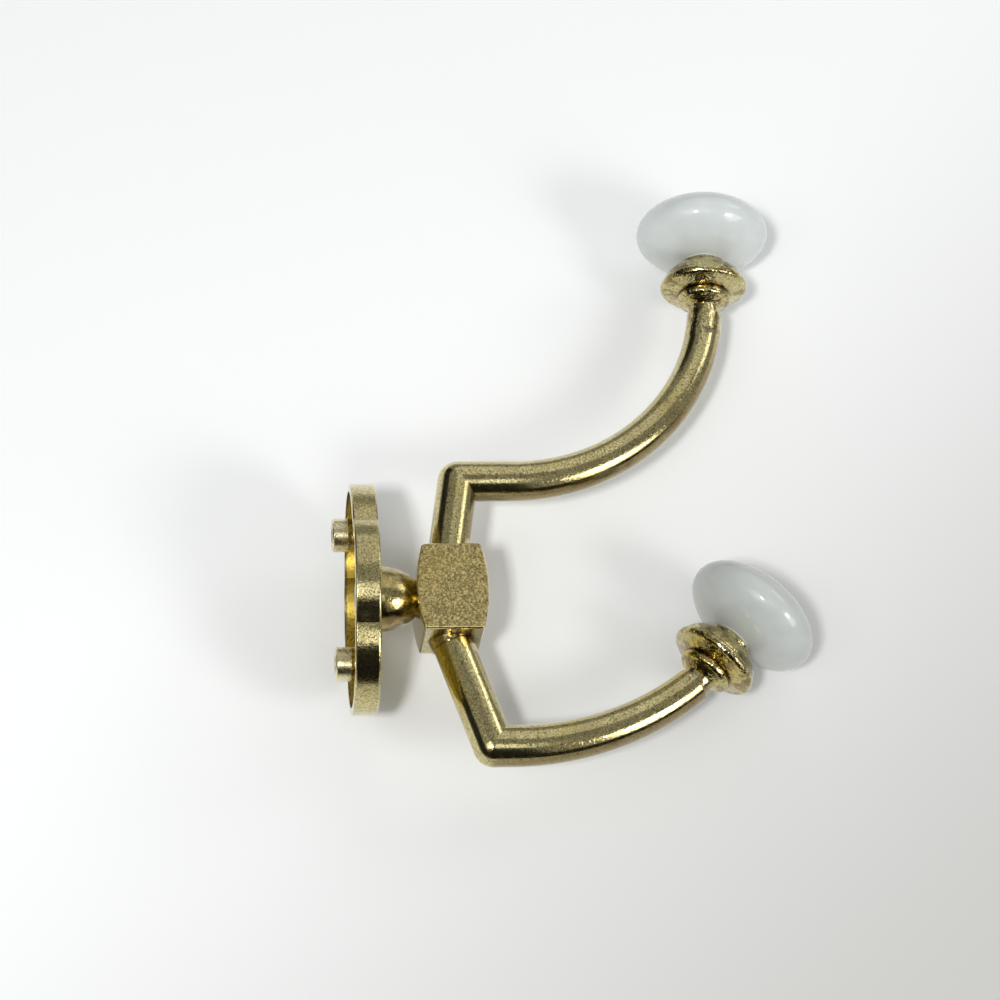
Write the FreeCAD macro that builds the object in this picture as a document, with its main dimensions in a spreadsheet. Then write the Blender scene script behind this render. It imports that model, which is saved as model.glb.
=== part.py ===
import FreeCAD, Part
import math
import os
import Sketcher

# Double robe hook: a lobed wall plate with a short neck, a hub block that carries a tall upper arm
# and a shorter lower arm, and a white knob on a turned collar at the end of each arm.
# Frame: the wall is the plane X = 0, +X points out of the wall, +Z up, and the part is symmetric
# about Y = 0. The origin is midway between the two posts that stand out behind the plate.
# Sizes are in millimetres and degrees.

SIZES = [
    ("lobe_radius", 15.7, "radius of each of the plate's four lobes"),
    ("end_lobe_offset", 8.4, "plate centre to the centre of the top or bottom lobe"),
    ("side_lobe_offset", 4.25, "plate centre to the centre of a side lobe"),
    ("plate_depth", 5.1, "plate, back rim to front face"),
    ("plate_rim", 1.6, "thickness of the wall round the hollow"),
    ("plate_front", 1.6, "thickness of the front skin"),
    ("plate_edge", 0.5, "rounding of the plate's front edge"),
    ("plate_back_edge", 0.4, "rounding of the plate's outer back edge"),
    ("post_spacing", 28.0, "distance between the two posts"),
    ("post_diameter", 6.9, "post outside"),
    ("post_reach", 3.3, "post end behind the rim"),
    ("post_edge", 0.3, "chamfer at the post's end"),
    ("tap_diameter", 3.3, "hole in a post, drawn at its tapping size"),
    ("tap_depth", 6.0, "depth of the hole in a post"),
    ("neck_length", 8.2, "plate front to the neck's end"),
    ("neck_root_diameter", 13.5, "neck at the plate"),
    ("neck_end_diameter", 7.6, "neck at its end"),
    ("neck_swell", 11.0, "radius of the neck's rounded side"),
    ("seat_depth", 0.2, "how deep the neck's end is let into the hub"),
    ("seat_play", 0.05, "clearance round the neck's end in the hub"),
    ("neck_flare", 0.9, "fillet between plate and neck"),
    ("hub_height", 18.5, "hub block along Z"),
    ("hub_depth", 14.8, "hub block along Y"),
    ("hub_end_width", 12.0, "hub block along X at its top and bottom"),
    ("hub_bulge", 1.3, "how far each side of the hub swells past its ends"),
    ("hub_top_rounding", 1.0, "rounding of the hub's two upper corners"),
    ("hub_bottom_rounding", 0.6, "rounding of the hub's two lower corners"),
    ("hub_edge", 0.5, "rounding round the hub's flat cheeks"),
    ("arm_diameter", 8.4, "stubs and the root of each arm"),
    ("arm_tip_diameter", 7.6, "arm where it meets its collar"),
    ("stub_root", 4.0, "how deep a stub runs on inside the hub"),
    ("ring_rise", 0.35, "ring round a stub, past the stub's surface"),
    ("ring_length", 0.8, "ring round a stub, along the stub"),
    ("upper_rise", 26.1, "plate centre up to the upper arm's straight run"),
    ("upper_setback", 2.7, "hub centre out to the upper elbow"),
    ("upper_run", 11.3, "straight run of the upper arm"),
    ("upper_bend", 44.5, "bend radius of the upper arm"),
    ("upper_sweep", 83.0, "turn of the upper arm"),
    ("upper_lean", 3.0, "lean of the upper knob, out from vertical"),
    ("lower_drop", 31.6, "plate centre down to the lower arm's straight run"),
    ("lower_setback", 7.4, "hub centre out to the lower elbow"),
    ("lower_run", 4.75, "straight run of the lower arm"),
    ("lower_bend", 60.0, "bend radius of the lower arm"),
    ("lower_sweep", 37.5, "turn of the lower arm"),
    ("lower_lean", 42.3, "lean of the lower knob, out from vertical"),
    ("waist_diameter", 6.6, "collar's narrow waist, next to the arm"),
    ("waist_root", 1.5, "how deep the waist runs on inside the arm"),
    ("waist_height", 1.9, "top of the waist above the arm's end"),
    ("bead_diameter", 11.6, "collar's small bead"),
    ("bead_round", 1.2, "section radius of the small bead"),
    ("bead_height", 4.2, "middle of the small bead above the arm's end"),
    ("bead_turn", 45.0, "angle from the collar's axis where the small bead ends"),
    ("flange_diameter", 18.8, "collar's large bead"),
    ("flange_round", 1.15, "section radius of the large bead"),
    ("flange_height", 7.15, "middle of the large bead above the arm's end"),
    ("flange_turn", 38.0, "angle from the collar's axis where the large bead meets the dome"),
    ("dome_diameter", 14.0, "top edge of the dome"),
    ("dome_height", 10.75, "top edge of the dome above the arm's end"),
    ("dome_round", 4.4, "section radius of the dome"),
    ("lip_diameter", 10.0, "collar's mouth, outside"),
    ("lip_foot_height", 11.1, "foot of the lip above the arm's end"),
    ("lip_rounding", 0.35, "rounding of the lip's outer edge"),
    ("collar_height", 12.8, "collar's mouth above the arm's end"),
    ("cup_depth", 1.1, "recess in the mouth that the knob's foot sits in"),
    ("knob_diameter", 28.6, "porcelain knob across"),
    ("knob_thickness", 14.4, "porcelain knob along its axis"),
    ("knob_rise", 8.5, "foot of the knob to its middle"),
    ("foot_diameter", 8.4, "foot of the knob"),
    ("foot_play", 0.1, "clearance all round the knob's foot"),
    ("stud_diameter", 3.9, "stud in the knob and the collar"),
    ("stud_play", 0.05, "clearance all round a stud, and round the screw in the hub"),
    ("stud_in_collar", 7.0, "length of stud below the knob's foot"),
    ("stud_in_knob", 7.0, "length of stud inside the knob"),
    ("end_gap", 0.3, "room past each end of a stud and past the screw's end"),
    ("screw_diameter", 3.9, "screw that holds the hub to the neck"),
    ("screw_play", 0.25, "clearance all round the screw in the neck"),
    ("screw_grip", 8.5, "length of screw inside the hub"),
    ("screw_point", 0.6, "chamfer at the screw's end and the studs' ends"),
    ("head_diameter", 7.4, "head of the screw"),
    ("head_height", 2.4, "head of the screw"),
    ("head_rounding", 0.9, "rounding of the screw head"),
    ("drive_width", 3.6, "cross recess in the screw head, arm to arm"),
    ("drive_slot", 0.9, "width of the cross recess"),
    ("drive_depth", 1.4, "depth of the cross recess"),
]

doc = FreeCAD.newDocument("robe_hook")
sheet = doc.addObject("Spreadsheet::Sheet", "sizes")
for row, (alias, value, meaning) in enumerate(SIZES, start=1):
    sheet.set(f"A{row}", str(value))
    sheet.set(f"B{row}", meaning)
    sheet.setAlias(f"A{row}", alias)
doc.recompute()


def named(expression):
    """Turns @name into a reference to that size on the sheet."""
    return expression.replace("@", "sizes.")


# Places that follow from the sizes
NECK_END = "(@plate_depth + @neck_length)"
HUB_X = f"({NECK_END} - @seat_depth + @hub_bulge + @hub_end_width / 2)"
HOLLOW_FLOOR = "(@plate_depth - @plate_front)"
HUB_FACE = "(@hub_height / 2)"
CUP_FLOOR = "(@collar_height - @cup_depth)"


def value_of(expression):
    """The number that an expression on the sheet gives now."""
    result = sheet.evalExpression(named(expression))
    return float(getattr(result, "Value", result))


def point_of(x, y):
    return FreeCAD.Vector(value_of(x), value_of(y))


def new_body(name):
    body = doc.addObject("PartDesign::Body", name)
    body.Label = name
    return body


def attach(body, thing, role, at, axis, angle):
    """Puts a sketch or primitive on an origin plane of its body, moved and turned by expressions."""
    plane = next(f for f in body.Origin.OriginFeatures if f.Role == role)
    thing.AttachmentSupport = [(plane, "")]
    thing.MapMode = "FlatFace"
    turn = FreeCAD.Rotation(FreeCAD.Vector(*axis), value_of(angle))
    thing.AttachmentOffset = FreeCAD.Placement(FreeCAD.Vector(), turn)
    for letter, expression in zip("xyz", at):
        if expression != "0":
            thing.setExpression(f"AttachmentOffset.Base.{letter}", named(expression))
    if angle != "0":
        thing.setExpression("AttachmentOffset.Rotation.Angle", named(angle))


def new_sketch(body, name, role, at=("0", "0", "0"), axis=(0, 0, 1), angle="0"):
    sketch = body.newObject("Sketcher::SketchObject", name)
    attach(body, sketch, role, at, axis, angle)
    return sketch


def bind(sketch, constraint, expression):
    """Adds a constraint whose value follows an expression."""
    index = sketch.addConstraint(constraint)
    sketch.renameConstraint(index, f"size_{index}")
    sketch.setExpression(f"Constraints.size_{index}", named(expression))


def pin(sketch, geometry, end, x, y):
    """Fixes one point of the sketch at two expressions."""
    for kind, axis, expression in (("DistanceX", -2, x), ("DistanceY", -1, y)):
        if expression == "0":
            sketch.addConstraint(Sketcher.Constraint("PointOnObject", geometry, end, axis))
        else:
            distance = Sketcher.Constraint(kind, -1, 1, geometry, end, value_of(expression))
            bind(sketch, distance, expression)


def draw_circle(sketch, diameter, x="0", y="0"):
    radius = value_of(diameter) / 2
    ring = Part.Circle(point_of(x, y), FreeCAD.Vector(0, 0, 1), radius)
    index = sketch.addGeometry(ring, False)
    bind(sketch, Sketcher.Constraint("Diameter", index, 2 * radius), diameter)
    pin(sketch, index, 3, x, y)


def arc_geometry(start, end, radius, side):
    """An arc from start to end that swells to the left (1) or to the right (-1) of that way."""
    half = (end - start) * 0.5
    across = FreeCAD.Vector(-half.y, half.x) * (side / half.Length)
    reach = math.sqrt(max(radius ** 2 - half.Length ** 2, 0.0))
    centre = start + half - across * reach
    first, last = (end, start) if side > 0 else (start, end)
    angles = [math.atan2(p.y - centre.y, p.x - centre.x) for p in (first, last)]
    if angles[1] < angles[0]:
        angles[1] += 2 * math.pi
    return Part.ArcOfCircle(Part.Circle(centre, FreeCAD.Vector(0, 0, 1), radius), *angles)


def draw(sketch, steps, closed=True):
    """Draws a chain of lines and arcs through the steps.

    A step is (x, y) for a line that ends there, or (x, y, radius, side) for an arc that ends there.
    """
    points = [point_of(step[0], step[1]) for step in steps]
    count = len(steps)
    chain = []
    for i in range(count if closed else count - 1):
        goal = steps[(i + 1) % count]
        start, end = points[i], points[(i + 1) % count]
        ends = (1, 2)
        if len(goal) == 2:
            index = sketch.addGeometry(Part.LineSegment(start, end), False)
        else:
            radius, side = goal[2], goal[3]
            index = sketch.addGeometry(arc_geometry(start, end, value_of(radius), side), False)
            ends = (2, 1) if side > 0 else (1, 2)
            bind(sketch, Sketcher.Constraint("Radius", index, value_of(radius)), radius)
        if chain:
            join = (chain[-1][0], chain[-1][2], index, ends[0])
            sketch.addConstraint(Sketcher.Constraint("Coincident", *join))
        chain.append((index, ends[0], ends[1]))
        pin(sketch, index, ends[0], steps[i][0], steps[i][1])
    if closed:
        join = (chain[-1][0], chain[-1][2], chain[0][0], chain[0][1])
        sketch.addConstraint(Sketcher.Constraint("Coincident", *join))
    else:
        pin(sketch, chain[-1][0], chain[-1][2], steps[-1][0], steps[-1][1])


def feature(body, kind, name, sketch, length=None, **settings):
    """A sketch-based feature whose length follows an expression."""
    made = body.newObject(f"PartDesign::{kind}", name)
    made.Profile = sketch
    for key, setting in settings.items():
        setattr(made, key, setting)
    if length:
        made.setExpression("Length", named(length))
    doc.recompute()
    return made


def turned(body, kind, name, sketch, axis):
    """A full revolution or groove about one of the sketch's axes."""
    made = feature(body, kind, name, sketch)
    made.ReferenceAxis = (sketch, [axis])
    made.Angle = 360
    doc.recompute()
    return made


def dress(body, kind, name, base, size, wanted):
    """A fillet or chamfer on the edges of the last feature that the test picks out."""
    edges = [f"Edge{i}" for i, edge in enumerate(base.Shape.Edges, start=1) if wanted(edge)]
    made = body.newObject(f"PartDesign::{kind}", name)
    made.Base = (base, edges)
    made.setExpression("Radius" if kind == "Fillet" else "Size", named(size))
    doc.recompute()
    return made


def spread(edge, axis):
    """The lowest and highest place of an edge along X, Y or Z."""
    box = edge.BoundBox
    return getattr(box, axis + "Min"), getattr(box, axis + "Max")


def lies_at(edge, axis, place):
    low, high = spread(edge, axis)
    return abs(low - place) < 1e-4 and abs(high - place) < 1e-4


# Backplate: one casting, with four lobes, a hollow back, two tapped posts and the neck
def lobed_outline(sketch, radius):
    """Four arcs of one radius. Each starts where two neighbouring lobes cross."""
    lobes = [("0", "@end_lobe_offset"), ("-@side_lobe_offset", "0"),
             ("0", "-@end_lobe_offset"), ("@side_lobe_offset", "0")]
    offset_z, offset_y = value_of("@end_lobe_offset"), value_of("@side_lobe_offset")
    half_gap = math.hypot(offset_z, offset_y) / 2
    reach = math.sqrt(value_of(radius) ** 2 - half_gap ** 2)
    cusp = FreeCAD.Vector(offset_y / 2 + reach * offset_z / (2 * half_gap),
                          offset_z / 2 + reach * offset_y / (2 * half_gap))
    signs = [(1, 1), (-1, 1), (-1, -1), (1, -1)]
    corners = [FreeCAD.Vector(cusp.x * a, cusp.y * b) for a, b in signs]
    arcs = []
    for i, (x, y) in enumerate(lobes):
        centre = point_of(x, y)
        ends = [corners[i], corners[(i + 1) % 4]]
        angles = [math.atan2(p.y - centre.y, p.x - centre.x) for p in ends]
        if angles[1] < angles[0]:
            angles[1] += 2 * math.pi
        ring = Part.Circle(centre, FreeCAD.Vector(0, 0, 1), value_of(radius))
        arcs.append(sketch.addGeometry(Part.ArcOfCircle(ring, *angles), False))
        bind(sketch, Sketcher.Constraint("Radius", arcs[i], value_of(radius)), radius)
        pin(sketch, arcs[i], 3, x, y)
    for i in range(4):
        sketch.addConstraint(Sketcher.Constraint("Coincident", arcs[i], 2, arcs[(i + 1) % 4], 1))


backplate = new_body("backplate")
outline = new_sketch(backplate, "plate_outline", "YZ_Plane")
lobed_outline(outline, "@lobe_radius")
slab = feature(backplate, "Pad", "plate_slab", outline, "@plate_depth")
front_x = value_of("@plate_depth")
slab = dress(backplate, "Fillet", "plate_front_edge", slab, "@plate_edge",
             lambda edge: lies_at(edge, "X", front_x))
dress(backplate, "Fillet", "plate_back_edge", slab, "@plate_back_edge",
      lambda edge: lies_at(edge, "X", 0))

hollow = new_sketch(backplate, "hollow_outline", "YZ_Plane")
lobed_outline(hollow, "(@lobe_radius - @plate_rim)")
feature(backplate, "Pocket", "plate_hollow", hollow, HOLLOW_FLOOR, Reversed=True)

posts = new_sketch(backplate, "post_circles", "YZ_Plane", ("0", "0", "-@post_reach"))
taps = new_sketch(backplate, "tap_circles", "YZ_Plane", ("0", "0", "-@post_reach"))
for post_z in ("@post_spacing / 2", "-@post_spacing / 2"):
    draw_circle(posts, "@post_diameter", y=post_z)
    draw_circle(taps, "@tap_diameter", y=post_z)
post_pad = feature(backplate, "Pad", "posts", posts,
                   f"@post_reach + {HOLLOW_FLOOR} + @plate_front / 2")
post_end_x = -value_of("@post_reach")
dress(backplate, "Chamfer", "post_ends", post_pad, "@post_edge",
      lambda edge: lies_at(edge, "X", post_end_x))
feature(backplate, "Pocket", "tapped_holes", taps, "@tap_depth", Reversed=True)

neck_profile = new_sketch(backplate, "neck_profile", "XZ_Plane")
draw(neck_profile, [
    (HOLLOW_FLOOR + " + @plate_front / 2", "0"),
    (NECK_END, "0"),
    (NECK_END, "@neck_end_diameter / 2"),
    ("@plate_depth", "@neck_root_diameter / 2", "@neck_swell", -1),
    (HOLLOW_FLOOR + " + @plate_front / 2", "@neck_root_diameter / 2"),
])
neck = turned(backplate, "Revolution", "neck", neck_profile, "H_Axis")
root_radius = value_of("@neck_root_diameter / 2")
dress(backplate, "Fillet", "neck_flare", neck, "@neck_flare",
      lambda edge: lies_at(edge, "X", front_x) and abs(spread(edge, "Z")[1] - root_radius) < 1e-3)
clear_hole = new_sketch(backplate, "screw_clearance", "YZ_Plane")
draw_circle(clear_hole, "@screw_diameter + 2 * @screw_play")
feature(backplate, "Pocket", "screw_way", clear_hole, Type="ThroughAll", Reversed=True)

# Hook body: one casting, with the hub block, the two arms and their collars
hook_body = new_body("hook_body")
hub_side = f"(({HUB_FACE} ^ 2 + @hub_bulge ^ 2) / (2 * @hub_bulge))"
hub_profile = new_sketch(hook_body, "hub_profile", "XZ_Plane")
draw(hub_profile, [
    (f"{HUB_X} - @hub_end_width / 2", "-" + HUB_FACE, hub_side, -1),
    (f"{HUB_X} + @hub_end_width / 2", "-" + HUB_FACE),
    (f"{HUB_X} + @hub_end_width / 2", HUB_FACE, hub_side, -1),
    (f"{HUB_X} - @hub_end_width / 2", HUB_FACE),
])
hub = feature(hook_body, "Pad", "hub", hub_profile, "@hub_depth", SideType="Symmetric")
for name, size, place in (("hub_top_corners", "@hub_top_rounding", value_of(HUB_FACE)),
                          ("hub_bottom_corners", "@hub_bottom_rounding", -value_of(HUB_FACE))):
    hub = dress(hook_body, "Fillet", name, hub, size,
                lambda edge: lies_at(edge, "Z", place) and edge.BoundBox.YLength > 1)
cheek_y = value_of("@hub_depth / 2")
dress(hook_body, "Fillet", "hub_cheeks", hub, "@hub_edge",
      lambda edge: lies_at(edge, "Y", cheek_y) or lies_at(edge, "Y", -cheek_y))

seat_profile = new_sketch(hook_body, "neck_seat_profile", "XZ_Plane")
draw(seat_profile, [
    ("@plate_depth", "0"),
    (NECK_END, "0"),
    (NECK_END, "@neck_end_diameter / 2 + @seat_play"),
    ("@plate_depth", "@neck_root_diameter / 2 + @seat_play", "@neck_swell", -1),
])
turned(hook_body, "Groove", "neck_seat", seat_profile, "H_Axis")
screw_hole = new_sketch(hook_body, "screw_hole_circle", "YZ_Plane", ("0", "0", NECK_END))
draw_circle(screw_hole, "@screw_diameter + 2 * @stud_play")
feature(hook_body, "Pocket", "screw_hole", screw_hole, "@screw_grip + @end_gap", Reversed=True)

TIPS = {}
for arm, side, height, setback in (("upper", "", "@upper_rise", "@upper_setback"),
                                   ("lower", "-", "@lower_drop", "@lower_setback")):
    run_z = side + height
    bend, sweep, lean = f"@{arm}_bend", f"@{arm}_sweep", f"@{arm}_lean"
    corner_x = f"({HUB_X} + {setback})"
    bend_x = f"({corner_x} + @{arm}_run)"
    tip_x = f"({bend_x} + {bend} * sin({sweep}))"
    tip_z = f"({run_z} + {bend} * (1 - cos({sweep})))"
    slope = f"({setback} / ({height} - {HUB_FACE}))"
    root_x = f"({HUB_X} - @stub_root * {slope})"
    root_z = f"{side}({HUB_FACE} - @stub_root)"
    TIPS[arm] = (tip_x, tip_z, lean)

    stub_length = f"(({height} - {HUB_FACE} + @stub_root) * sqrt(1 + {slope} ^ 2))"
    ring_end = f"(@stub_root * sqrt(1 + {slope} ^ 2) + @ring_length)"
    leaning = f"-atan({slope})" if arm == "upper" else f"atan({slope}) - 180 deg"
    stub_profile = new_sketch(hook_body, f"{arm}_stub_profile", "XZ_Plane",
                              (root_x, root_z, "0"), (0, 0, 1), leaning)
    draw(stub_profile, [
        ("0", "0"),
        ("@arm_diameter / 2 + @ring_rise", "0"),
        ("@arm_diameter / 2 + @ring_rise", ring_end),
        ("@arm_diameter / 2", ring_end),
        ("@arm_diameter / 2", stub_length),
        ("0", f"{stub_length} + @arm_diameter / 2", "@arm_diameter / 2", -1),
    ])
    turned(hook_body, "Revolution", f"{arm}_stub", stub_profile, "V_Axis")

    run_circle = new_sketch(hook_body, f"{arm}_run_circle", "YZ_Plane", ("0", "0", corner_x))
    draw_circle(run_circle, "@arm_diameter", y=run_z)
    feature(hook_body, "Pad", f"{arm}_run", run_circle, f"@{arm}_run")
    bend_circle = new_sketch(hook_body, f"{arm}_bend_circle", "YZ_Plane", ("0", "0", bend_x))
    draw_circle(bend_circle, "@arm_diameter", y=run_z)
    tip_circle = new_sketch(hook_body, f"{arm}_tip_circle", "YZ_Plane", ("0", tip_z, tip_x),
                            (1, 0, 0), f"-{sweep}")
    draw_circle(tip_circle, "@arm_tip_diameter")
    arm_path = new_sketch(hook_body, f"{arm}_arm_path", "XZ_Plane")
    draw(arm_path, [(bend_x, run_z), (tip_x, tip_z, bend, -1)], closed=False)
    feature(hook_body, "AdditivePipe", f"{arm}_arm", bend_circle,
            Spine=(arm_path, ["Edge1"]), Transformation="Multisection", Sections=[tip_circle])

    collar_frame = ((tip_x, tip_z, "0"), (0, 0, 1), f"-{lean}")
    bead_line = "@bead_diameter / 2 - @bead_round"
    flange_line = "@flange_diameter / 2 - @flange_round"
    collar_profile = new_sketch(hook_body, f"{arm}_collar_profile", "XZ_Plane", *collar_frame)
    draw(collar_profile, [
        ("0", "-@waist_root"),
        ("@waist_diameter / 2", "-@waist_root"),
        ("@waist_diameter / 2", "@waist_height"),
        (bead_line, "@bead_height - @bead_round"),
        (f"{bead_line} + @bead_round * sin(@bead_turn)",
         "@bead_height + @bead_round * cos(@bead_turn)", "@bead_round", -1),
        (flange_line, "@flange_height - @flange_round"),
        (f"{flange_line} + @flange_round * sin(@flange_turn)",
         "@flange_height + @flange_round * cos(@flange_turn)", "@flange_round", -1),
        ("@dome_diameter / 2", "@dome_height", "@dome_round", -1),
        ("@lip_diameter / 2", "@lip_foot_height"),
        ("@lip_diameter / 2", "@collar_height - @lip_rounding"),
        ("@lip_diameter / 2 - @lip_rounding", "@collar_height", "@lip_rounding", -1),
        ("0", "@collar_height"),
    ])
    turned(hook_body, "Revolution", f"{arm}_collar", collar_profile, "V_Axis")
    stud_bore = "@stud_diameter / 2 + @stud_play"
    bore_profile = new_sketch(hook_body, f"{arm}_bore_profile", "XZ_Plane", *collar_frame)
    draw(bore_profile, [
        ("0", f"{CUP_FLOOR} - @stud_in_collar - @end_gap"),
        (stud_bore, f"{CUP_FLOOR} - @stud_in_collar - @end_gap"),
        (stud_bore, CUP_FLOOR),
        ("@foot_diameter / 2 + @foot_play", CUP_FLOOR),
        ("@foot_diameter / 2 + @foot_play", "@collar_height + @cup_depth"),
        ("0", "@collar_height + @cup_depth"),
    ])
    turned(hook_body, "Groove", f"{arm}_bore", bore_profile, "V_Axis")


# Knobs and their studs: each is built upright about the foot of the knob, then set in its collar
def seat_in_collar(body, arm):
    tip_x, tip_z, lean = TIPS[arm]
    body.Placement = FreeCAD.Placement(FreeCAD.Vector(),
                                       FreeCAD.Rotation(FreeCAD.Vector(0, 1, 0), value_of(lean)))
    body.setExpression("Placement.Base.x", named(f"{tip_x} + {CUP_FLOOR} * sin({lean})"))
    body.setExpression("Placement.Base.z", named(f"{tip_z} + {CUP_FLOOR} * cos({lean})"))
    body.setExpression("Placement.Rotation.Angle", named(lean))


def primitive(body, kind, name, height, **sizes):
    """A primitive on the body's axis, its base or middle at a height above the knob's foot."""
    made = body.newObject(f"PartDesign::{kind}", name)
    attach(body, made, "XY_Plane", ("0", "0", height), (0, 0, 1), "0")
    for key, expression in sizes.items():
        made.setExpression(key, named(expression))
    doc.recompute()
    return made


for arm in TIPS:
    knob = new_body(f"{arm}_knob")
    primitive(knob, "AdditiveEllipsoid", f"{arm}_knob_round", "@knob_rise",
              Radius1="@knob_thickness / 2", Radius2="@knob_diameter / 2",
              Radius3="@knob_diameter / 2")
    primitive(knob, "AdditiveCylinder", f"{arm}_knob_foot", "0",
              Radius="@foot_diameter / 2", Height="@knob_rise")
    primitive(knob, "SubtractiveCylinder", f"{arm}_knob_hole", "0",
              Radius="@stud_diameter / 2 + @stud_play", Height="@stud_in_knob + @end_gap")
    seat_in_collar(knob, arm)

    stud = new_body(f"{arm}_stud")
    rod = primitive(stud, "AdditiveCylinder", f"{arm}_stud_rod", "-@stud_in_collar",
                    Radius="@stud_diameter / 2", Height="@stud_in_collar + @stud_in_knob")
    dress(stud, "Chamfer", f"{arm}_stud_ends", rod, "@screw_point",
          lambda edge: edge.BoundBox.XLength > 1)
    seat_in_collar(stud, arm)

# Hub screw: a pan-head screw from the plate's hollow, through the neck, into the hub
center_screw = new_body("center_screw")
screw_profile = new_sketch(center_screw, "screw_profile", "XZ_Plane")
HEAD_TOP = f"({HOLLOW_FLOOR} - @head_height)"
SCREW_END = f"({NECK_END} + @screw_grip)"
draw(screw_profile, [
    (HEAD_TOP, "0"),
    (SCREW_END, "0"),
    (SCREW_END, "@screw_diameter / 2 - @screw_point"),
    (f"{SCREW_END} - @screw_point", "@screw_diameter / 2"),
    (HOLLOW_FLOOR, "@screw_diameter / 2"),
    (HOLLOW_FLOOR, "@head_diameter / 2"),
    (f"{HEAD_TOP} + @head_rounding", "@head_diameter / 2"),
    (HEAD_TOP, "@head_diameter / 2 - @head_rounding", "@head_rounding", -1),
])
turned(center_screw, "Revolution", "screw_turning", screw_profile, "H_Axis")
drive = new_sketch(center_screw, "drive_cross", "YZ_Plane", ("0", "0", HEAD_TOP))
draw(drive, [(f"{a}@{x} / 2", f"{b}@{y} / 2") for a, x, b, y in (
    ("", "drive_width", "-", "drive_slot"), ("", "drive_width", "", "drive_slot"),
    ("", "drive_slot", "", "drive_slot"), ("", "drive_slot", "", "drive_width"),
    ("-", "drive_slot", "", "drive_width"), ("-", "drive_slot", "", "drive_slot"),
    ("-", "drive_width", "", "drive_slot"), ("-", "drive_width", "-", "drive_slot"),
    ("-", "drive_slot", "-", "drive_slot"), ("-", "drive_slot", "-", "drive_width"),
    ("", "drive_slot", "-", "drive_width"), ("", "drive_slot", "-", "drive_slot"))])
feature(center_screw, "Pocket", "drive_recess", drive, "@drive_depth", Reversed=True)

# Checks, then one file for each sub-part
doc.recompute()
for item in doc.Objects:
    if "Invalid" in item.State or "Error" in item.State:
        raise RuntimeError(f"{item.Name} did not build: {item.State}")
    if item.TypeId in ("PartDesign::Pocket", "PartDesign::Groove"):
        if not item.Shape.Volume < item.BaseFeature.Shape.Volume - 1e-3:
            raise RuntimeError(f"{item.Name} cuts nothing")
os.makedirs("parts", exist_ok=True)
for body in doc.findObjects("PartDesign::Body"):
    if body.Shape.isNull() or not body.Shape.isValid():
        raise RuntimeError(f"{body.Label} has no valid shape")
    body.Shape.exportStep(f"parts/{body.Label}.step")
    print(body.Label, "solids", len(body.Shape.Solids), "volume", round(body.Shape.Volume, 2))
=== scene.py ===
import bpy
import bmesh
from math import cos, radians, sin
from mathutils import Matrix, Vector

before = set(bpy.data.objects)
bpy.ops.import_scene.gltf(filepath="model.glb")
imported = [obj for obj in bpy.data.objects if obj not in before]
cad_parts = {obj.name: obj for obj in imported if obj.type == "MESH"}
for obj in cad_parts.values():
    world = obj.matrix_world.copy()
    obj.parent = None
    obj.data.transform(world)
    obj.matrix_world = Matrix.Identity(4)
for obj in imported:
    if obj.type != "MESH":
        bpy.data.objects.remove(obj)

scene = bpy.context.scene
scene.view_settings.view_transform = "Standard"
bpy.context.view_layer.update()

# Camera: a long lens above the table, tilted towards the lower end of the plate. Its place and
# turn were worked out from the two knobs and the plate's outline.
camera_data = bpy.data.cameras.new("photo_camera")
camera_data.sensor_width = 36.0
camera_data.lens = 90.0
camera_data.clip_start = 0.01
camera = bpy.data.objects.new("photo_camera", camera_data)
camera.location = (-0.03142, -0.4718, -0.18489)
camera.rotation_euler = (radians(113.51), radians(2.868), radians(-6.381))
scene.collection.objects.link(camera)
scene.camera = camera


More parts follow.
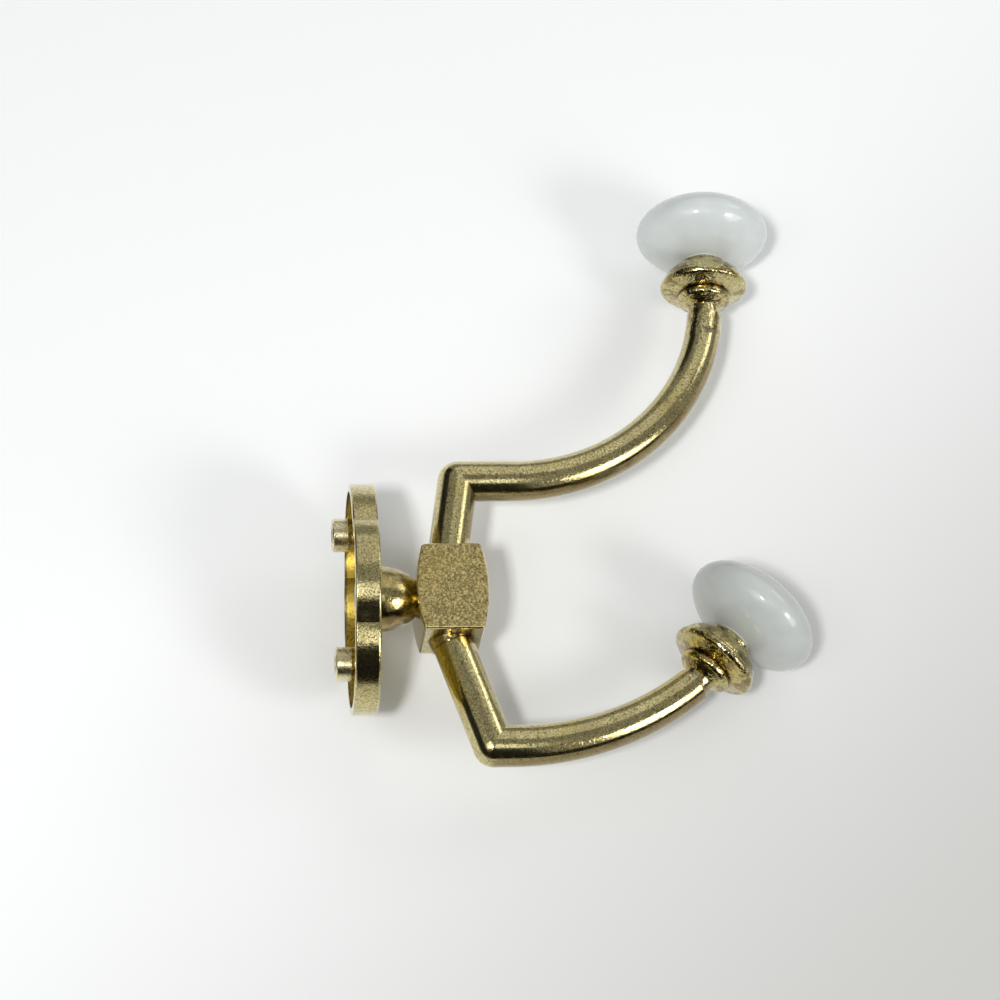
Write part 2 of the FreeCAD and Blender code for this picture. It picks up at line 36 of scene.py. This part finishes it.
# Table: a white sheet that the plate's edge and both knobs rest on. Seen from behind it lets the
# camera through, so the back of the hook can be looked at.
class Tone:
    """One socket of a material's nodes. Arithmetic on tones adds Math nodes to the material."""

    def __init__(self, tree, socket=None):
        self.tree = tree
        self.socket = socket

    def node(self, kind, settings=None, sockets=None, output=0):
        """Adds a node with its settings and its sockets, which go by name or by number."""
        made = self.tree.nodes.new(kind)
        for key, setting in (settings or {}).items():
            setattr(made, key, setting)
        for key, source in (sockets or {}).items():
            if isinstance(source, Tone):
                self.tree.links.new(source.socket, made.inputs[key])
            else:
                made.inputs[key].default_value = source
        return Tone(self.tree, made.outputs[output])

    def math(self, operation, *terms):
        return self.node("ShaderNodeMath", {"operation": operation}, dict(enumerate(terms)))

    def __add__(self, other):
        return self.math("ADD", self, other)

    def __sub__(self, other):
        return self.math("SUBTRACT", self, other)

    def __rsub__(self, other):
        return self.math("SUBTRACT", other, self)

    def __mul__(self, other):
        return self.math("MULTIPLY", self, other)

    __radd__ = __add__
    __rmul__ = __mul__

    def step(self, low, high):
        """0 below low, 1 above high, and smooth between them."""
        return self.node("ShaderNodeMapRange", {"interpolation_type": "SMOOTHSTEP"},
                         {"Value": self, "From Min": low, "From Max": high})

    def beyond(self, low, high):
        """0 closer to the middle than low on either side, and 1 farther from it than high."""
        return (self * self).step(low ** 2, high ** 2)

    def along(self, axis):
        """One coordinate of a place, in metres, or of a direction."""
        return self.node("ShaderNodeSeparateXYZ", None, {"Vector": self}, output=axis)

    def grain(self, size, detail=2.0):
        """Noise whose lumps have a size in metres."""
        return self.node("ShaderNodeTexNoise", None,
                         {"Vector": self, "Scale": 1.0 / size, "Detail": detail, "Roughness": 0.65})

    def shelter(self, distance):
        """How much of the open side the piece itself closes off within a distance in metres."""
        return 1.0 - self.node("ShaderNodeAmbientOcclusion", {"samples": 8, "only_local": True},
                               {"Distance": distance}, output="AO")

    def blend(self, first, second):
        """The first colour where this tone is 0 and the second where it is 1."""
        return self.node("ShaderNodeMix", {"data_type": "RGBA"},
                         {"Factor": self, "A": first, "B": second}, output="Result")

    def feeds(self, shader, socket):
        self.tree.links.new(self.socket, shader.inputs[socket])


def new_material(name):
    """A material with its shader, and the tone of its object coordinates."""
    material = bpy.data.materials.new(name)
    material.use_nodes = True
    tree = material.node_tree
    place = Tone(tree).node("ShaderNodeTexCoord", output="Object")
    return material, tree.nodes["Principled BSDF"], place


def staged(name, mesh_maker, material):
    """An object that isn't part of the hook, from the mesh that the maker builds."""
    made = bmesh.new()
    mesh_maker(made)
    mesh = bpy.data.meshes.new(name)
    made.to_mesh(mesh)
    made.free()
    mesh.materials.append(material)
    thing = bpy.data.objects.new(name, mesh)
    scene.collection.objects.link(thing)
    return thing


table_white, shader, place = new_material("table_white")
shader.inputs["Roughness"].default_value = 0.6
shader.inputs["Specular IOR Level"].default_value = 0.2
sheet_white = (0.965, 0.975, 0.968, 1.0)
# Painted shade: the sheet turns from white to grey towards its lower right, for the shade there.
painted_shade_grey = (0.565, 0.56, 0.54, 1.0)
painted_shade_lower_right = (place.along(0) - place.along(2) * 1.2).step(-0.06, 0.24)
painted_shade_lower_right.blend(sheet_white, painted_shade_grey).feeds(shader, "Base Color")
sheet = Tone(place.tree, shader.outputs["BSDF"])
clear = place.node("ShaderNodeBsdfTransparent")
behind = place.node("ShaderNodeNewGeometry", output="Backfacing")
place.node("ShaderNodeMixShader", None, {0: behind, 1: sheet, 2: clear}).feeds(
    place.tree.nodes["Material Output"], "Surface")


def make_table(made):
    """A sheet at the plate's edge. It leans, because the knobs are less wide than the plate."""
    plate_edge = Matrix.Translation((0.0049, 0.01997, 0.0))
    lean = Matrix.Rotation(radians(-4.135), 4, "Z") @ Matrix.Rotation(radians(90), 4, "X")
    bmesh.ops.create_grid(made, x_segments=1, y_segments=1, size=1.2, matrix=plate_edge @ lean)


staged("table", make_table, table_white)

# Light: a plain pale room with a lamp above, a window to the right and dull panels for its walls.
# Only gloss shows the cards round it: three black ones for the dark lines on the arms, the
# window's bright pane behind its lamp, and a bright strip for a thin white edge.
world = bpy.data.worlds.new("room")
world.use_nodes = True
world.node_tree.nodes["Background"].inputs["Color"].default_value = (0.30, 0.305, 0.31, 1.0)
scene.world = world
middle = Vector((0.045, 0.0, 0.01))
lamp_reach = 1.1


def towards(turn, tilt):
    """A direction by its turn from +X towards +Z and its tilt from straight above, in degrees."""
    flat = sin(radians(tilt))
    return Vector((flat * cos(radians(turn)), -cos(radians(tilt)), flat * sin(radians(turn))))


for name, turn, tilt, width, height, watts in (
        ("ceiling_lamp", 229, 28, 0.10, 0.12, 5.2),
        ("window", 322, 48, 0.24, 0.24, 2.0),
        ("window_glow", 320, 54, 0.50, 0.46, 1.5),
        ("ceiling_panel", 212, 36, 0.45, 0.40, 1.1),
        ("near_panel", 281, 21, 0.20, 0.42, 0.34),
        ("far_wall", 70, 49, 1.00, 1.02, 1.40),
        ("right_wall", 30, 54, 0.32, 0.40, 0.85)):
    lamp_data = bpy.data.lights.new(name, "AREA")
    lamp_data.shape = "RECTANGLE"
    lamp_data.size = width
    lamp_data.size_y = height
    lamp_data.energy = watts
    lamp = bpy.data.objects.new(name, lamp_data)
    lamp.location = middle + towards(turn, tilt) * lamp_reach
    lamp.rotation_euler = towards(turn, tilt).to_track_quat("Z", "Y").to_euler()
    lamp.visible_camera = False
    lamp.visible_glossy = name != "window_glow"
    scene.collection.objects.link(lamp)

for name, turn_from, turn_to, top, foot, reach, glow in (
        ("left_card", 118, 240, 57, 90, 0.90, 0.0),
        ("front_card", 240, 286, 31, 92, 0.85, 0.0),
        ("corner_card", 284, 340, 70, 92, 0.80, 0.0),
        ("window_pane", 306, 340, 44, 69, 1.20, 3.8),
        ("side_strip", 184, 198, 10, 46, 1.00, 1.6)):
    card_paint, shader, place = new_material(name)
    shader.inputs["Base Color"].default_value = (0.02, 0.02, 0.02, 1.0)
    shader.inputs["Roughness"].default_value = 1.0
    shader.inputs["Emission Color"].default_value = (1.0, 0.99, 0.97, 1.0)
    shader.inputs["Emission Strength"].default_value = glow

    def make_card(made):
        """An upright edge, spun round the middle with a face every 2 degrees."""
        edge = [made.verts.new(middle + reach * towards(turn_from, tilt)) for tilt in (top, foot)]
        bmesh.ops.spin(made, geom=edge + [made.edges.new(edge)], cent=middle, axis=(0, -1, 0),
                       angle=radians(turn_to - turn_from), steps=(turn_to - turn_from) // 2)

    card = staged(name, make_card, card_paint)
    card.visible_camera = False
    card.visible_diffuse = False
    card.visible_shadow = False


# Backplate: one casting with its posts and neck, thinly plated. The casting's grain shows through
# as fine light and dark specks. The hollow behind is painted a deeper gold for the gold light
# bouncing in it, the posts are rougher and painted paler for a sheen, and the neck is painted
# darker for shade, most on its underside, with real dark marks as well.
def dress(node, material):
    """Gives a solid of the model its material."""
    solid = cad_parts[node]
    solid.data.materials.clear()
    solid.data.materials.append(material)


def plate_with_brass(shader, place, dull, deep_gold_and_painted_reflection, crinkled, painted_sheen, stains_and_painted_shade):
    """Thin brass over a casting, under lacquer. Each tone after the place is 1 where it is so."""
    fine = place.grain(0.00036, 3.0)
    coarse = place.grain(0.0010, 2.0)
    patch = place.grain(0.006, 3.0)
    pale = fine.step(0.40, 0.66)
    pits = (1.0 - place.grain(0.0005, 2.0)).step(0.56, 0.66)
    gold = pale.blend((0.45, 0.375, 0.14, 1.0), (0.80, 0.71, 0.37, 1.0))
    worn = (patch.step(0.42, 0.66) * 0.6).blend(gold, (0.46, 0.39, 0.18, 1.0))
    sandy = dull.blend(worn, pale.blend((0.26, 0.20, 0.06, 1.0), (0.80, 0.64, 0.28, 1.0)))
    # A deeper gold: partly real warm patches and collar stains, partly painted reflection of gold
    # light in the plate's hollow and on the lower stub's side facing the wall, and painted shade on
    # the neck.
    golden = (deep_gold_and_painted_reflection * 0.8).blend(sandy, (0.60, 0.45, 0.06, 1.0))
    # Painted sheen: a pale brass that stands in for a highlight, on the posts and along the cheeks'
    # edges.
    with_painted_sheen = (painted_sheen * 0.8).blend(golden, (0.88, 0.80, 0.50, 1.0))
    # Dark brown: real stains, and painted shade on the downward faces of the neck and arms and on
    # the stubs' outer sides.
    darker = (stains_and_painted_shade * 0.6).blend(with_painted_sheen, (0.19, 0.125, 0.04, 1.0))
    pitted = (pits * 0.75).blend(darker, (0.10, 0.07, 0.025, 1.0))
    # Painted shade: places the piece closes off within 5 mm get a darker gold, and creases within
    # 1.6 mm almost black.
    painted_corner_shade = (place.shelter(0.0050).step(0.10, 0.50) * 0.7).blend(pitted, (0.42, 0.30, 0.07, 1.0))
    painted_crease_shade = (place.shelter(0.0016).step(0.16, 0.50) * 0.8).blend(
        painted_corner_shade, (0.085, 0.048, 0.016, 1.0))
    painted_crease_shade.feeds(shader, "Base Color")
    shader.inputs["Metallic"].default_value = 1.0
    shader.inputs["Coat Weight"].default_value = 0.6
    shader.inputs["Coat Roughness"].default_value = 0.06
    (0.05 + 0.06 * coarse.step(0.35, 0.65) + 0.03 * fine + 0.33 * dull).feeds(shader, "Roughness")
    height = (fine * 0.5 + coarse * 0.3 + patch * 0.8 + fine * dull * 1.4 - pits * 0.3
              + crinkled * place.grain(0.0014, 2.0) * 13.0)
    place.node("ShaderNodeBump", None,
               {"Strength": 0.15, "Distance": 0.00025, "Height": height}).feeds(shader, "Normal")


plate_brass, shader, place = new_material("plate_brass")
out, side, up = place.along(0), place.along(1), place.along(2)
facing = place.node("ShaderNodeTexCoord", output="Normal")
facing_out, facing_side, facing_up = facing.along(0), facing.along(1), facing.along(2)
# The wall's face is at 0 with the posts behind it, and the neck starts 5.1 mm out of the wall.
inward =1.0 - (facing_side * side + facing_up * up).step(-0.004, -0.001)
hollow_floor = (1.0 - facing_out).step(1.5, 1.9) * out.step(0.0005, 0.0010)
inside = (inward + hollow_floor) * out.step(0.0002, 0.0008)
neck = out.step(0.0052, 0.0060)
posts = 1.0 - out.step(-0.0002, 0.0)
blotches = place.grain(0.009, 1.0).step(0.50, 0.62)
# Real dark marks on the neck, plus painted shade on its downward faces.
spots_and_painted_shade = 1.0 - place.grain(0.002).step(0.35, 0.65) + (1.0 - facing_up).step(1.55, 1.75)
# The hollow is painted a deeper gold for the gold light bouncing in it, the posts pale for a sheen,
# and the neck darker for shade.
plate_with_brass(shader, place, dull=blotches * 0.3 + inside * 0.6 + posts * 0.5,
                 deep_gold_and_painted_reflection=inside + neck * 0.3, crinkled=neck * 0.05, painted_sheen=posts,
                 stains_and_painted_shade=neck * spots_and_painted_shade)
dress("backplate", plate_brass)

# Hook body: hub block, arms and collars in one casting, with the same plating. The block's flat
# cheeks are matt and sandy, with a pale band painted along their edges as a highlight, the collars
# are crinkled and have stains, the arms are painted darker below and the stubs on their outer sides
# for shade, and a gold reflection is painted on the side where the lower arm leaves the block.
hook_brass, shader, place = new_material("hook_brass")
out, side, up = place.along(0), place.along(1), place.along(2)
facing = place.node("ShaderNodeTexCoord", output="Normal")
facing_out, facing_up = facing.along(0), facing.along(2)
# The block's cheeks are 7.4 mm from the middle plane and its edges are rounded by 0.5 mm. It ends
# 9.25 mm above and below the middle, and its side away from the wall is at 27.7 mm.
block_width = 1.0 - out.step(0.0275, 0.0282)
block = block_width * (1.0 - up.beyond(0.012, 0.01265))
cheeks = side.beyond(0.00728, 0.007376) * block_width * (1.0 - up.beyond(0.008944, 0.009487))
# Painted highlight: a pale band along the rounded edges of the block's cheeks.
painted_edge_highlight = side.beyond(0.006914, 0.007106) * block_width * (1.0 - side.beyond(0.007314, 0.007382))
upper_collar = up.step(0.0590, 0.0615)
lower_collar = (out + up).step(0.0510, 0.0530) * (1.0 - up.step(-0.004, 0.004))
collars = upper_collar + lower_collar
# Painted shade: faces of the arms turned down and outwards, and the stubs' sides facing away from
# the wall, are made darker.
painted_shade_under_arms = (facing_out * 0.6 - facing_up * 0.8).step(0.58, 0.78) * (1.0 - collars)
painted_shade_stub_outer = facing_out.step(0.60, 0.74) * (1.0 - out.step(0.025, 0.030))
painted_shade = (painted_shade_under_arms + painted_shade_stub_outer) * (1.0 - block)
lower_stub = up.step(-0.028, -0.018) * (1.0 - up.step(-0.012, -0.010))
# Painted reflection: the lower stub's side facing the wall gets a darker gold for the brass it
# mirrors.
painted_reflection_side = (1.0 - facing_out).step(1.25, 1.6) * lower_stub
warm_patches = place.grain(0.012, 1.0).step(0.55, 0.65)
stains = place.grain(0.007, 3.0).step(0.56, 0.70)
collar_stains = place.grain(0.0028, 2.0).step(0.48, 0.58) * collars
plate_with_brass(shader, place, dull=cheeks,
                 deep_gold_and_painted_reflection=warm_patches * 0.2 + painted_reflection_side + collar_stains * 0.3,
                 crinkled=collars, painted_sheen=painted_edge_highlight,
                 stains_and_painted_shade=stains * 0.35 + collar_stains * 1.25 + painted_shade * 1.2)
dress("hook_body", hook_brass)

# Knobs: glazed white porcelain with a faint blue cast and soft clouds. The lower knob is painted
# a greyer white for the shade it sits in, and the upper one a lighter white. The glaze is a clear
# coat with a slight ripple.
knob_glaze, shader, place = new_material("knob_glaze")
clouds = place.grain(0.009).step(0.35, 0.65)
# Painted shade and light: one porcelain in two whites, greyer on the lower knob for shade and
# lighter on the upper knob.
painted_shade_lower_white = clouds.blend((0.49, 0.515, 0.495, 1.0), (0.53, 0.555, 0.535, 1.0))
painted_lit_upper_white = clouds.blend((0.62, 0.66, 0.65, 1.0), (0.67, 0.705, 0.69, 1.0))
place.along(2).step(0.0, 0.05).blend(painted_shade_lower_white, painted_lit_upper_white).feeds(shader, "Base Color")
shader.inputs["Roughness"].default_value = 0.32
shader.inputs["Specular IOR Level"].default_value = 0.2
shader.inputs["Coat Weight"].default_value = 0.7
shader.inputs["Coat Roughness"].default_value = 0.03
place.node("ShaderNodeBump", None, {"Strength": 0.06, "Distance": 0.0003,
                                    "Height": place.grain(0.004, 1.0)}).feeds(shader, "Normal")
for node in ("upper_knob", "lower_knob"):
    dress(node, knob_glaze)

# Screw and studs: zinc-plated steel with faint turning marks. All are hidden but for the screw's
# head in the plate's hollow.
fastener_steel, shader, place = new_material("fastener_steel")
turning = place.grain(0.0004)
turning.step(0.4, 0.65).blend(
    (0.38, 0.38, 0.38, 1.0), (0.55, 0.55, 0.56, 1.0)).feeds(shader, "Base Color")
shader.inputs["Metallic"].default_value = 1.0
(0.26 + 0.18 * turning).feeds(shader, "Roughness")
for node in ("center_screw", "upper_stud", "lower_stud"):
    dress(node, fastener_steel)
